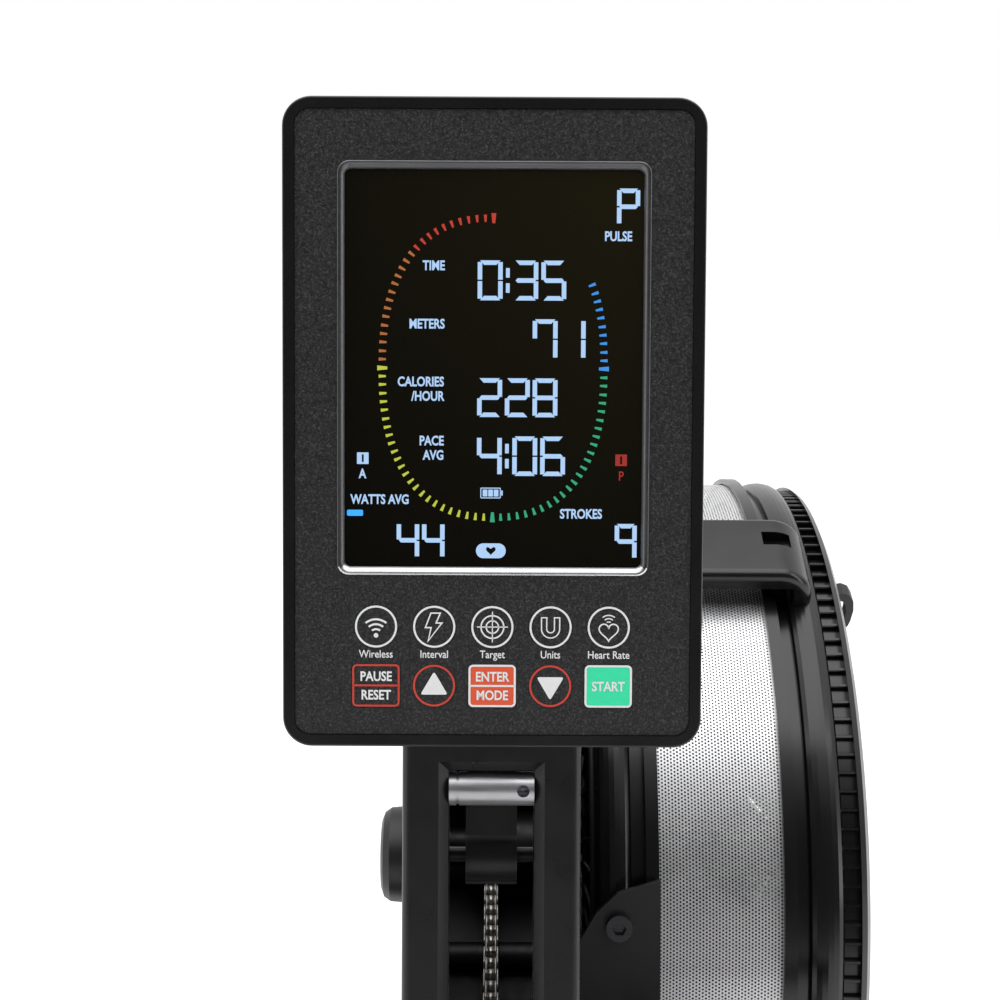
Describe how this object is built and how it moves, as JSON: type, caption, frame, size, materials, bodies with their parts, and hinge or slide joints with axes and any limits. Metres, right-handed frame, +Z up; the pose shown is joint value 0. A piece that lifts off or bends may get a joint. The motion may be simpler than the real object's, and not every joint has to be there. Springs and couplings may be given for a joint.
{
  "type": "rowing machine",
  "caption": "Air rowing machine with a chain-driven fan in a mesh cage, sliding seat on a rail, foot plates, and a display on a swinging arm.",
  "frame": {"origin": "centre of the machine's footprint box, on the floor", "axes": "+X is the rower's right, +Y points from the seat to the fan, +Z is up"},
  "size_m": [0.6, 2.438, 0.9818],
  "materials": {
    "frame_steel": "satin",
    "black_plastic": "fine texture",
    "gloss_black": "gloss",
    "plated_steel": "satin",
    "mesh_steel": "satin silver",
    "alu_rail": "satin anodised",
    "rubber": "matte",
    "chain_steel": "nickel plated",
    "blade_plastic": "matte",
    "seat_foam": "matte moulded foam",
    "grip_rubber": "fine ribbed",
    "webbing": "woven",
    "cord": "braided",
    "panel_grey": "speckled texture",
    "display": "gloss",
    "key_grey": "printed",
    "key_orange": "printed",
    "key_green": "printed",
    "wheel_white": "matte"
  },
  "bodies": {
    "frame": {"left_frame_plate": "frame_steel", "right_frame_plate": "frame_steel", "frame_cross_tubes": "plated_steel", "frame_fasteners": "plated_steel", "neck_cover": "black_plastic", "neck_cross_tube": "plated_steel", "handle_rests": "rubber", "front_leg": "frame_steel", "rear_leg": "frame_steel", "foot_caps": "rubber", "rail": "alu_rail", "rail_tracks": "plated_steel", "rail_stops": "rubber", "left_fan_cover": "gloss_black", "right_fan_cover": "gloss_black", "fan_mesh_ring": "mesh_steel", "cage_grab_handle": "gloss_black", "drum_bracket": "frame_steel", "fan_axle": "plated_steel", "chain_return_strand": "chain_steel", "shock_cord": "cord", "left_foot_plate": "black_plastic", "right_foot_plate": "black_plastic", "foot_straps": "webbing"},
    "flywheel": {"hub_sleeve": "plated_steel", "flywheel_disc": "plated_steel", "fan_blades": "blade_plastic"},
    "sprocket": {"chain_sprocket": "plated_steel"},
    "idler": {"chain_idler": "black_plastic"},
    "pulley": {"cord_pulley": "black_plastic"},
    "handle": {"handle_bar": "frame_steel", "handle_grips": "grip_rubber", "handle_yoke": "black_plastic", "chain_pull_strand": "chain_steel"},
    "damper": {"damper_plate": "black_plastic"},
    "left_heel": {"left_heel_cup": "black_plastic"},
    "right_heel": {"right_heel_cup": "black_plastic"},
    "seat": {"seat_pad": "seat_foam", "seat_carriage": "frame_steel", "seat_axles": "plated_steel"},
    "front_rollers": {"front_seat_wheels": "wheel_white"},
    "rear_rollers": {"rear_seat_wheels": "wheel_white"},
    "left_wheel": {"left_transport_wheel": "rubber"},
    "right_wheel": {"right_transport_wheel": "rubber"},
    "arm": {"monitor_arm": "frame_steel"},
    "knob": {"arm_knob": "black_plastic"},
    "monitor": {"monitor_bezel": "gloss_black", "keypad_panel": "panel_grey", "display_module": "display", "monitor_shell": "black_plastic"},
    "wireless_button": {"wireless_key": "key_grey"},
    "interval_button": {"interval_key": "key_grey"},
    "target_button": {"target_key": "key_grey"},
    "units_button": {"units_key": "key_grey"},
    "pulse_button": {"pulse_key": "key_grey"},
    "pause_button": {"pause_key": "key_grey"},
    "up_button": {"up_key": "key_grey"},
    "enter_button": {"enter_key": "key_orange"},
    "down_button": {"down_key": "key_grey"},
    "start_button": {"start_key": "key_green"}
  },
  "joints": [
    {"name": "flywheel_spin", "type": "hinge", "parent": "frame", "child": "flywheel", "pos_m": [0, 0.95, 0.44], "axis": [1, 0, 0], "continuous": true},
    {"name": "handle_pull", "type": "slide", "parent": "frame", "child": "handle", "axis": [0, -1, 0], "range_m": [0, 1.2], "stiffness_N_per_m": 25, "springref_m": -1, "deforming": ["chain_pull_strand", "chain_return_strand", "shock_cord"]},
    {"name": "sprocket_spin", "type": "hinge", "parent": "frame", "child": "sprocket", "pos_m": [0, 0.95, 0.44], "axis": [1, 0, 0], "continuous": true},
    {"name": "idler_spin", "type": "hinge", "parent": "frame", "child": "idler", "pos_m": [0, 0.64, 0.297], "axis": [1, 0, 0], "continuous": true},
    {"name": "cord_pulley_spin", "type": "hinge", "parent": "frame", "child": "pulley", "pos_m": [0, -1.1, 0.253], "axis": [1, 0, 0], "continuous": true},
    {"name": "damper_turn", "type": "hinge", "parent": "frame", "child": "damper", "pos_m": [0, 0.95, 0.44], "axis": [-1, 0, 0], "range_deg": [0, 45]},
    {"name": "left_heel_slide", "type": "slide", "parent": "frame", "child": "left_heel", "axis": [0, 0.7431, 0.6691], "range_m": [-0.015, 0.04]},
    {"name": "right_heel_slide", "type": "slide", "parent": "frame", "child": "right_heel", "axis": [0, 0.7431, 0.6691], "range_m": [-0.015, 0.04]},
    {"name": "seat_slide", "type": "slide", "parent": "frame", "child": "seat", "axis": [0, 1, 0], "range_m": [-0.99, 0.33]},
    {"name": "front_rollers_spin", "type": "hinge", "parent": "seat", "child": "front_rollers", "pos_m": [0, -0.015, 0.32], "axis": [1, 0, 0], "continuous": true},
    {"name": "rear_rollers_spin", "type": "hinge", "parent": "seat", "child": "rear_rollers", "pos_m": [0, -0.185, 0.32], "axis": [1, 0, 0], "continuous": true},
    {"name": "left_wheel_spin", "type": "hinge", "parent": "frame", "child": "left_wheel", "pos_m": [-0.226, 1.163, 0.045], "axis": [1, 0, 0], "continuous": true},
    {"name": "right_wheel_spin", "type": "hinge", "parent": "frame", "child": "right_wheel", "pos_m": [0.226, 1.163, 0.045], "axis": [1, 0, 0], "continuous": true},
    {"name": "arm_swing", "type": "hinge", "parent": "frame", "child": "arm", "pos_m": [0, 0.67558, 0.5723], "axis": [1, 0, 0], "range_deg": [-28, 0]},
    {"name": "knob_turn", "type": "hinge", "parent": "frame", "child": "knob", "pos_m": [0, 0.67558, 0.5723], "axis": [-1, 0, 0], "continuous": true},
    {"name": "monitor_tilt", "type": "hinge", "parent": "arm", "child": "monitor", "pos_m": [0, 0.4817, 0.83713], "axis": [1, 0, 0], "range_deg": [-10, 15]},
    {"name": "wireless_press", "type": "slide", "parent": "monitor", "child": "wireless_button", "axis": [0, 0.9781, -0.2079], "range_m": [0, 0.0005], "stiffness_N_per_m": 600, "springref_m": -0.001},
    {"name": "interval_press", "type": "slide", "parent": "monitor", "child": "interval_button", "axis": [0, 0.9781, -0.2079], "range_m": [0, 0.0005], "stiffness_N_per_m": 600, "springref_m": -0.001},
    {"name": "target_press", "type": "slide", "parent": "monitor", "child": "target_button", "axis": [0, 0.9781, -0.2079], "range_m": [0, 0.0005], "stiffness_N_per_m": 600, "springref_m": -0.001},
    {"name": "units_press", "type": "slide", "parent": "monitor", "child": "units_button", "axis": [0, 0.9781, -0.2079], "range_m": [0, 0.0005], "stiffness_N_per_m": 600, "springref_m": -0.001},
    {"name": "pulse_press", "type": "slide", "parent": "monitor", "child": "pulse_button", "axis": [0, 0.9781, -0.2079], "range_m": [0, 0.0005], "stiffness_N_per_m": 600, "springref_m": -0.001},
    {"name": "pause_press", "type": "slide", "parent": "monitor", "child": "pause_button", "axis": [0, 0.9781, -0.2079], "range_m": [0, 0.0005], "stiffness_N_per_m": 600, "springref_m": -0.001},
    {"name": "up_press", "type": "slide", "parent": "monitor", "child": "up_button", "axis": [0, 0.9781, -0.2079], "range_m": [0, 0.0005], "stiffness_N_per_m": 600, "springref_m": -0.001},
    {"name": "enter_press", "type": "slide", "parent": "monitor", "child": "enter_button", "axis": [0, 0.9781, -0.2079], "range_m": [0, 0.0005], "stiffness_N_per_m": 600, "springref_m": -0.001},
    {"name": "down_press", "type": "slide", "parent": "monitor", "child": "down_button", "axis": [0, 0.9781, -0.2079], "range_m": [0, 0.0005], "stiffness_N_per_m": 600, "springref_m": -0.001},
    {"name": "start_press", "type": "slide", "parent": "monitor", "child": "start_button", "axis": [0, 0.9781, -0.2079], "range_m": [0, 0.0005], "stiffness_N_per_m": 600, "springref_m": -0.001}
  ],
  "couplings": [
    {"joint": "sprocket_spin", "follows": "handle_pull", "rad_per_m": 35.043},
    {"joint": "idler_spin", "follows": "handle_pull", "rad_per_m": 45.455},
    {"joint": "cord_pulley_spin", "follows": "handle_pull", "rad_per_m": -27.3},
    {"joint": "front_rollers_spin", "follows": "seat_slide", "rad_per_m": -50},
    {"joint": "rear_rollers_spin", "follows": "seat_slide", "rad_per_m": -50}
  ]
}
